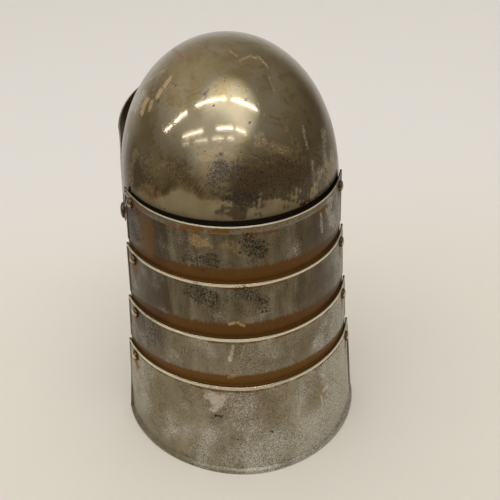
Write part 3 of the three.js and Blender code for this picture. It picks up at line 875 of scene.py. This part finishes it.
def build_peak():
    grid, fields = peak_grid()
    holes = pivot_holes(PEAK_SIDE)
    paint(fields, grid, {}, holes)
    piece = make_piece("peak_brim", grid, fields, holes)
    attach(piece, "peak")
    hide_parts("peak")
    return piece


# Materials

def tone(red, green, blue):
    """A colour as a screen shows it, from 0 to 255, as linear values."""
    return (*(((c / 255 + 0.055) / 1.055) ** 2.4 for c in (red, green, blue)), 1)


class Graph:
    """Short ways to make the nodes of a material or of the room."""

    def __init__(self, owner):
        owner.use_nodes = True
        self.tree = owner.node_tree
        self.nodes = self.tree.nodes

    def set(self, socket, value):
        if isinstance(value, bpy.types.NodeSocket):
            self.tree.links.new(value, socket)
        else:
            socket.default_value = value

    def node(self, kind, *values, output=0, **named):
        """One output of a new node, with inputs set in order, or like the rest by name."""
        node = self.nodes.new("ShaderNode" + kind)
        for name, value in named.items():
            if name in node.inputs:
                self.set(node.inputs[name], value)
            else:
                setattr(node, name, value)
        for socket, value in zip(node.inputs, values):
            self.set(socket, value)
        return node.outputs[output]

    def fold(self, operation, first, *others):
        for other in others:
            first = self.node("Math", first, other, operation=operation)
        return first

    def add(self, *values):
        return self.fold("ADD", *values)

    def less(self, *values):
        return self.fold("SUBTRACT", *values)

    def times(self, *values):
        return self.fold("MULTIPLY", *values)

    def most(self, *values):
        return self.fold("MAXIMUM", *values)

    def step(self, value, low, high):
        """0 at low and 1 at high, with an eased step between."""
        return self.node("MapRange", value, low, high, interpolation_type="SMOOTHSTEP")

    def blend(self, share, first, second):
        """From the first value or colour to the second."""
        node = self.nodes.new("ShaderNodeMix")
        colors = isinstance(first, tuple) or getattr(first, "type", "") == "RGBA"
        node.data_type = "RGBA" if colors else "FLOAT"
        kind = "RGBA" if colors else "VALUE"
        inputs = [socket for socket in node.inputs if socket.type == kind and socket.enabled]
        output = next(socket for socket in node.outputs if socket.enabled)
        self.set(node.inputs[0], share)
        self.set(inputs[-2], first)
        self.set(inputs[-1], second)
        return output

    def part(self, vector, axis):
        return self.node("SeparateXYZ", vector, output=axis)


class Surface(Graph):
    """A material in the making, with places in millimetres."""

    def __init__(self, name):
        self.material = bpy.data.materials.new(name)
        super().__init__(self.material)
        self.place = self.stretch(self.node("TexCoord", output="Object"), (1 / MM,) * 3)
        self.metal = 1.0

    def stretch(self, vector, scale, turn=(0, 0, 0)):
        return self.node("Mapping", Vector=vector, Scale=scale, Rotation=turn)

    def field(self, name):
        return self.node("Attribute", attribute_name=name, output="Fac")

    def noise(self, size, vector=None, detail=3, rough=0.5, warp=0):
        """A noise with features of a size in millimetres."""
        return self.node("TexNoise", Vector=vector or self.place, Scale=1 / size,
                         Detail=detail, Roughness=rough, Distortion=warp)

    def scratches(self, turn, wide=0.5):
        """Hair lines that run one way, from a noise drawn out along it."""
        long = 60
        drawn = self.stretch(self.place, (1 / long, 1 / wide, 1 / long), turn)
        lines = self.noise(1, drawn, detail=1)
        here = self.step(self.noise(35, detail=2), 0.5, 0.62)
        return self.times(self.step(lines, 0.7, 0.73), here)

    def layer(self, share, **looks):
        """Turns the colour, the metal or the roughness towards another by a share."""
        for name, value in looks.items():
            setattr(self, name, self.blend(share, getattr(self, name), value))

    def stain(self, share, cover, red, green, blue):
        """Colours the surface where a share says, and as well as it covers."""
        self.layer(self.times(share, cover), color=tone(red, green, blue))

    def add_marks(self):
        """Lays each kind of mark over the surface, with ragged edges."""
        ragged = self.less(self.noise(1.6, detail=4, rough=0.7), 0.5)
        for kind, (shade, metal, rough, cover, lace) in MARK_LOOKS.items():
            value = self.field(kind)
            share = self.add(value, self.times(ragged, self.step(value, 0, 0.15), lace))
            share = self.times(self.step(share, 0.08, 0.85), cover)
            self.layer(share, color=tone(*shade), metal=metal, rough=rough)

    def inner_color(self, broad, cloud, grain):
        """The unpolished steel inside, browned and patched with rust."""
        color = self.blend(self.step(broad, 0.4, 0.6), tone(128, 112, 86), tone(104, 84, 58))
        rust = self.times(self.step(cloud, 0.5, 0.64), 0.75)
        color = self.blend(rust, color, tone(112, 70, 34))
        return self.blend(self.times(self.step(grain, 0.5, 0.66), 0.5), color, tone(62, 48, 32))

    def within(self):
        return self.step(self.field("outside"), 0.9, 0.6)

    def gloss(self, **values):
        """Sets sockets that are the same all over, by their names."""
        for name, value in values.items():
            socket = self.nodes["Principled BSDF"].inputs[name.replace("_", " ")]
            socket.default_value = value

    def finish(self, height):
        """Joins everything to the shader, with a relief in millimetres."""
        bump = self.node("Bump", Strength=1, Distance=MM, Height=height)
        shader = self.nodes["Principled BSDF"]
        for name, value in (("Base Color", self.color), ("Metallic", self.metal),
                            ("Roughness", self.rough), ("Normal", bump)):
            self.set(shader.inputs[name], value)
        return self.material


def skull_steel():
    g = Surface("skull_steel")
    broad = g.noise(60, detail=4, rough=0.55, warp=0.6)
    cloud = g.noise(17, detail=5, rough=0.6, warp=0.8)
    grain = g.noise(1.1, detail=4, rough=0.65)
    g.color = g.blend(g.step(broad, 0.36, 0.64), tone(166, 141, 88), tone(186, 166, 120))
    g.rough = g.blend(g.step(cloud, 0.35, 0.7), 0.09, 0.17)
    g.stain(g.step(cloud, 0.5, 0.68), 0.6, 140, 108, 54)
    g.stain(g.step(cloud, 0.47, 0.34), 0.35, 194, 180, 146)
    g.stain(g.step(grain, 0.5, 0.75), 0.3, 116, 96, 62)
    # A paler band is painted just above the neck guard, as painted light that lifts the shade of
    # the gap there.
    edge = g.add(g.field("above_neck"), g.times(g.less(g.noise(30), 0.5), 30))
    edge = g.add(edge, g.times(g.step(g.part(g.place, 0), 48, 80), 18))
    low = g.step(edge, 26, 17)
    g.stain(low, 0.5, 168, 156, 128)
    g.metal = g.less(1, g.times(low, 0.4))
    g.layer(low, rough=0.32)
    # Brown tarnish deepens towards the rim, in drifts; the darkening is partly painted shade for
    # the dimmer lower skull.
    drift = g.add(g.part(g.place, 2), g.times(g.less(broad, 0.5), 90))
    g.stain(g.times(g.step(drift, 319, 264), g.less(1, low)), 0.42, 104, 82, 46)
    hairs = g.most(*(g.scratches(turn, wide=0.3)
                     for turn in ((0.3, 0.5, 0.9), (1.1, 0.2, 2.2), (0.4, 1.2, 0.1))))
    g.stain(hairs, 0.6, 206, 178, 132)
    g.layer(g.times(hairs, 0.6), rough=0.4)
    cells = g.node("TexVoronoi", Vector=g.place, Scale=1 / 6, output="Distance")
    speck = g.times(g.step(cells, 0.16, 0.08), g.step(g.noise(28, detail=2), 0.46, 0.56))
    g.stain(speck, 0.8, *SOOT_AND_SHADE)
    g.layer(speck, rough=0.6)
    g.add_marks()
    # Painted shade: near-black where the skull runs down under the neck guard's upper edge, in
    # the gap between them.
    gap_shade = g.step(g.field("above_neck"), 0.6, -0.6)
    g.layer(gap_shade, color=tone(*SOOT_AND_SHADE), metal=0.0, rough=0.6)
    g.layer(g.within(), color=g.inner_color(broad, cloud, grain), metal=0.6, rough=0.5)
    height = g.add(g.times(g.noise(24, detail=2), 0.14), g.times(grain, 0.02))
    height = g.less(height, g.times(g.most(speck, g.field("dark")), 0.06))
    g.gloss(Coat_Weight=0.8, Coat_Roughness=0.03, Coat_IOR=1.8, Specular_IOR_Level=0.3)
    return g.finish(height)


def plate_steel():
    g = Surface("plate_steel")
    drop = g.field("drop")
    on_plate = g.node("CombineXYZ", g.field("along"), drop, g.field("band"))
    broad = g.noise(55, detail=3, rough=0.5, warp=0.4)
    cloud = g.noise(11, detail=5, rough=0.6, warp=0.5)
    grain = g.noise(1.3, detail=4, rough=0.75)
    drips = g.noise(1, g.stretch(on_plate, (0.2, 0.02, 0.1)), detail=3)
    g.color = g.blend(g.step(broad, 0.38, 0.62), tone(142, 132, 110), tone(161, 152, 131))
    g.rough = g.blend(g.step(cloud, 0.35, 0.7), 0.27, 0.38)
    g.stain(g.step(cloud, 0.5, 0.72), 0.25, 116, 100, 72)
    tarnish_and_shade = g.field("tarnish_and_shade")
    streaky = g.add(0.2, g.times(tarnish_and_shade, 0.8))
    g.stain(g.times(g.step(drips, 0.5, 0.68), streaky), 0.4, 120, 94, 56)
    # The upper plates are tarnished darker than the lowest, in upright drifts; this darkening is
    # partly painted shade.
    drifts = g.noise(1, g.stretch(on_plate, (0.05, 0.012, 0.1)), detail=3, rough=0.55)
    dull = g.times(tarnish_and_shade, g.add(0.5, g.times(g.step(drifts, 0.34, 0.62), 0.5)))
    g.stain(g.fold("MINIMUM", dull, 1), 0.92, 70, 57, 39)
    here = g.step(g.noise(26, detail=3), 0.4, 0.6)
    g.stain(g.step(grain, 0.48, 0.6), g.add(0.2, g.times(here, 0.55)), 62, 54, 40)
    # A whitish bloom, thickest towards the wearer's right and the foot.
    patch = g.step(g.add(g.noise(30, detail=3), g.field("bloom")), 0.5, 0.85)
    flecks = g.step(g.noise(1.2, detail=4, rough=0.8), g.blend(patch, 0.46, 0.4), 0.64)
    bloom = g.times(flecks, patch)
    g.stain(bloom, 0.85, 226, 224, 217)
    g.layer(g.times(patch, 0.8), rough=0.5)
    g.layer(g.times(bloom, 0.7), metal=0.2)
    # The worn, polished upper border, and the thin brown line under it. The border's near-white
    # tone is partly a painted highlight along the edge.
    collar = g.field("collar")
    border = g.step(drop, g.add(collar, 0.3), g.less(collar, 0.5))
    under = g.less(drop, collar)
    teeth = g.noise(1, g.stretch(on_plate, (0.8, 0.12, 0)), detail=2)
    line = g.step(g.less(under, g.times(teeth, 5)), 0, -1.2)
    line = g.times(line, g.step(under, -0.2, 0.3), g.step(g.noise(12), 0.42, 0.56))
    g.stain(line, 0.8, 98, 66, 34)
    broad_border = g.times(g.step(collar, 4, 7), g.step(drop, 0.9, 1.6))
    scuffed = g.blend(g.times(flecks, 0.8), tone(112, 100, 78), tone(186, 180, 166))
    polish_and_highlight = g.blend(broad_border, tone(244, 234, 208), scuffed)
    g.layer(g.times(border, g.blend(broad_border, 0.88, 0.6)), color=polish_and_highlight)
    g.layer(g.times(border, 0.9), rough=g.blend(broad_border, 0.14, 0.3))
    g.layer(border, metal=1.0)
    # The brown band over the next plate's bead, with its ragged upper edge.
    fine = g.noise(1, g.stretch(on_plate, (1.1, 0.03, 0)), detail=4, rough=0.7)
    tall = g.field("band")
    above = g.field("above_next")
    top = g.times(tall, g.add(0.5, fine))
    band = g.times(g.step(g.less(top, above), -0.5, 0.8), g.step(tall, 0.6, 2))
    brown = g.blend(cloud, tone(116, 79, 30), tone(95, 62, 22))
    brown = g.blend(g.times(tarnish_and_shade, 0.5), brown, tone(74, 45, 12))
    # Painted light: the brown is lighter where it runs down behind the next plate's upper edge,
    # lifting the shade there.
    brown = g.blend(g.step(above, 1, -1.5), brown, tone(160, 108, 44))
    g.layer(g.times(band, 0.96), color=brown)
    g.layer(band, rough=0.32)
    g.layer(g.times(band, 0.95), metal=0)
    # Painted shade: each plate's end border is darkened, where it faces sideways into dim
    # reflections.
    g.stain(g.step(g.field("from_end"), 6.5, 3), 0.45, 90, 70, 46)
    g.add_marks()
    # Painted shade: the inner face is near-black towards its upper edge, where it lies close
    # over the skull or the plate above.
    inner = g.blend(g.step(drop, 9, 3), g.inner_color(broad, cloud, grain), tone(44, 33, 22))
    g.layer(g.within(), color=inner, metal=0.6, rough=0.5)
    height = g.add(g.times(g.noise(34, detail=2), 0.3), g.times(grain, 0.05))
    height = g.less(height, g.times(g.step(cloud, 0.5, 0.72), 0.03))
    g.gloss(Specular_IOR_Level=0.08)
    return g.finish(height)


def peak_steel():
    g = Surface("peak_steel")
    broad = g.noise(40, detail=4, rough=0.6, warp=0.5)
    cloud = g.noise(10, detail=5, rough=0.65, warp=0.6)
    grain = g.noise(0.9, detail=4, rough=0.7)
    g.color = g.blend(g.step(broad, 0.38, 0.62), tone(156, 142, 112), tone(186, 178, 160))
    g.rough = g.blend(g.step(cloud, 0.35, 0.7), 0.26, 0.42)
    g.stain(g.step(cloud, 0.52, 0.7), 0.5, 112, 90, 60)
    g.stain(g.step(grain, 0.52, 0.72), 0.45, 88, 74, 54)
    hairs = g.most(g.scratches((0.3, 0.5, 0.9)), g.scratches((1.1, 0.2, 2.2)))
    g.stain(hairs, 0.5, 212, 202, 180)
    g.add_marks()
    g.layer(g.within(), color=g.inner_color(broad, cloud, grain), rough=0.5)
    return g.finish(g.add(g.times(g.noise(26, detail=2), 0.25), g.times(grain, 0.06)))


def rivet_steel():
    g = Surface("rivet_steel")
    cloud = g.noise(2.4, detail=4, rough=0.6)
    # The lower part of each head is browned: partly rust, and partly painted shade under the
    # light from above.
    low = g.add(g.field("low"), g.times(g.less(cloud, 0.5), 3))
    g.color = g.blend(g.step(cloud, 0.4, 0.65), tone(214, 202, 172), tone(176, 152, 112))
    g.rough = g.blend(g.step(low, 0.2, 2), 0.2, 0.42)
    g.stain(g.step(low, 0.2, 2), 0.85, 118, 78, 38)
    size = g.field("size")
    g.stain(g.step(g.field("foot"), g.times(size, 0.82), size), 0.8, 74, 48, 26)
    return g.finish(g.times(g.noise(1.2, detail=3), 0.12))


def floor_paper():
    g = Surface("floor_paper")
    near = g.blend(g.noise(160, detail=3), tone(225, 219, 209), tone(229, 223, 213))
    # The paper is a little cooler towards the backdrop that the photograph shows.
    cooler = g.step(g.part(g.place, 1), -100, -700)
    g.color, g.metal, g.rough = g.blend(cooler, near, tone(228, 225, 221)), 0.0, 0.85
    return g.finish(g.times(g.noise(6, detail=3), 0.2))


# Stage

FLOOR_EDGE = 0.55  # metres from the helmet to where the table ends in reflections
SWEEP_FROM = 2.6
SWEEP = 0.8
BACKDROP_TOP = 1.35


def turned_sheet(name, profile, material):
    """A stage sheet turned round the upright axis, from radii and heights in metres."""
    turn = np.linspace(0, 2 * math.pi, SHEET_COLUMNS, endpoint=False)
    rows = [(radius * math.cos(t), radius * math.sin(t), z)
            for radius, z in profile for t in turn]
    if len(profile) == 1:
        faces = [tuple(range(SHEET_COLUMNS))]
    else:
        faces = grid_faces(len(profile), SHEET_COLUMNS, True).tolist()
    mesh = bpy.data.meshes.new(name)
    mesh.from_pydata(rows, [], faces)
    for polygon in mesh.polygons:
        polygon.use_smooth = True
    mesh.materials.append(material)
    sheet = add_object(name, mesh)
    return sheet


def build_stage():
    """A pale floor that sweeps up to a low backdrop all round, far from the helmet.

    Polished steel mirrors the near floor and the room, and not the backdrop.
    """
    paper = floor_paper()
    turned_sheet("floor", [(FLOOR_EDGE, 0)], paper)
    sweep = [(SWEEP_FROM + SWEEP * math.sin(t), SWEEP - SWEEP * math.cos(t))
             for t in np.linspace(0, math.pi / 2, 16)]
    profile = [(FLOOR_EDGE, 0), *sweep, (SWEEP_FROM + SWEEP, BACKDROP_TOP)]
    backdrop = turned_sheet("backdrop", profile, paper)
    backdrop.visible_glossy = False


CEILING = 2.2  # metres from the skull's middle up to the lamps
LAMP_WIDTH = 0.062
LAMP_COLOR = (1, 0.99, 0.985)
FILL_SIZE = 5.4
FILL_Y = -0.5
FILL_GLOW = 0.66
# Ceiling lamps in rows: each lamp's two ends as shares of the ceiling's height,
# across and back, and how bright it is.
LAMPS = [
    ((2.5, -0.07), (1.86, 0.14), 14),
    ((1.62, 0.16), (1.0, 0.25), 12),
    ((0.71, 0.28), (0.06, 0.37), 8),
    ((-0.05, 0.39), (-0.61, 0.55), 11),
    ((1.73, 0.72), (0.835, 0.88), 9),
    ((0.42, 0.94), (0.0, 1.0), 9),
    ((-0.09, 1.04), (-0.38, 1.13), 8),
    ((1.96, 0.94), (1.62, 1.02), 4),
    ((1.36, 1.08), (0.84, 1.18), 4),
    ((0.66, 1.2), (0.3, 1.24), 5),
    ((0.2, 1.25), (-0.02, 1.27), 5),
]


def area_light(name, place, turn, size, glow):
    """A rectangle of light. The glow is the brightness that it shows."""
    data = bpy.data.lights.new(name, "AREA")
    data.shape = "RECTANGLE"
    data.size, data.size_y = size
    data.energy = glow * math.pi * size[0] * size[1]
    data.color = LAMP_COLOR
    light = add_object(name, data)
    light.location = place
    light.rotation_euler = (0, 0, turn)
    return light


def build_lights():
    base = np.array([0, SHIFT_Y * MM])
    height = (SKULL_Z + 70) * MM + CEILING
    for number, (start, end, glow) in enumerate(LAMPS):
        a = np.array(start) * CEILING + base
        b = np.array(end) * CEILING + base
        middle = (a + b) / 2
        way = b - a
        size = (float(np.linalg.norm(way)), LAMP_WIDTH)
        turn = math.atan2(way[1], way[0])
        area_light(f"lamp_{number + 1}", (*middle, height), turn, size, glow)
    # A soft fill that polished steel doesn't mirror.
    fill = area_light("fill", (0, FILL_Y, height), 0, (FILL_SIZE, FILL_SIZE), FILL_GLOW)
    fill.visible_glossy = False


def build_room():
    """A soft grey room: a pale ceiling, dimmer walls, and dark behind the camera."""
    world = bpy.data.worlds.new("room")
    g = Graph(world)
    way = g.node("TexCoord", output="Generated")
    x, y, z = (g.part(way, axis) for axis in range(3))
    across = g.step(x, -0.7, 0.7)
    low = g.blend(across, (0.22, 0.2, 0.17, 1), (0.12, 0.108, 0.088, 1))
    side = g.blend(across, (0.13, 0.115, 0.09, 1), (0.2, 0.18, 0.145, 1))
    side = g.blend(g.step(z, -0.15, 0.02), low, side)
    side = g.blend(g.step(y, 0.0, 0.6), side, (0.14, 0.125, 0.1, 1))
    ceiling = g.blend(across, (0.26, 0.245, 0.215, 1), (0.5, 0.48, 0.43, 1))
    wall = g.blend(g.step(y, -1.0, -0.6), (0.5, 0.48, 0.45, 1), side)
    color = g.blend(g.step(z, 0.15, 0.75), wall, ceiling)
    # Two soft, bright stretches of ceiling, between the rows of lamps and beyond.
    for middle, edge, core, glow in (((0.02, 0.46, 0.89), 0.83, 0.99, (1.35, 1.32, 1.24, 1)),
                                     ((0.36, 0.76, 0.54), 0.82, 0.99, (0.56, 0.54, 0.5, 1))):
        near = g.node("VectorMath", way, middle, operation="DOT_PRODUCT", output="Value")
        color = g.blend(g.step(near, edge, core), color, glow)
    background = g.nodes["Background"]
    g.set(background.inputs["Color"], color)
    background.inputs["Strength"].default_value = 1
    bpy.context.scene.world = world


skull = build_skull()
plates = [build_plate(plate) for plate in range(PLATES)]
rivets = [build_plate_rivet(plate, side) for plate in range(PLATES) for side in (1, -1)]
pivots = [build_pivot(side) for side in (1, -1)]
peak = build_peak()
for group, material in (([skull], skull_steel()), (plates, plate_steel()),
                        ([peak], peak_steel()), ([*rivets, *pivots], rivet_steel())):
    for piece in group:
        piece.data.materials.append(material)
make_camera()
build_stage()
build_lights()
build_room()
bpy.context.scene.view_settings.view_transform = "Standard"
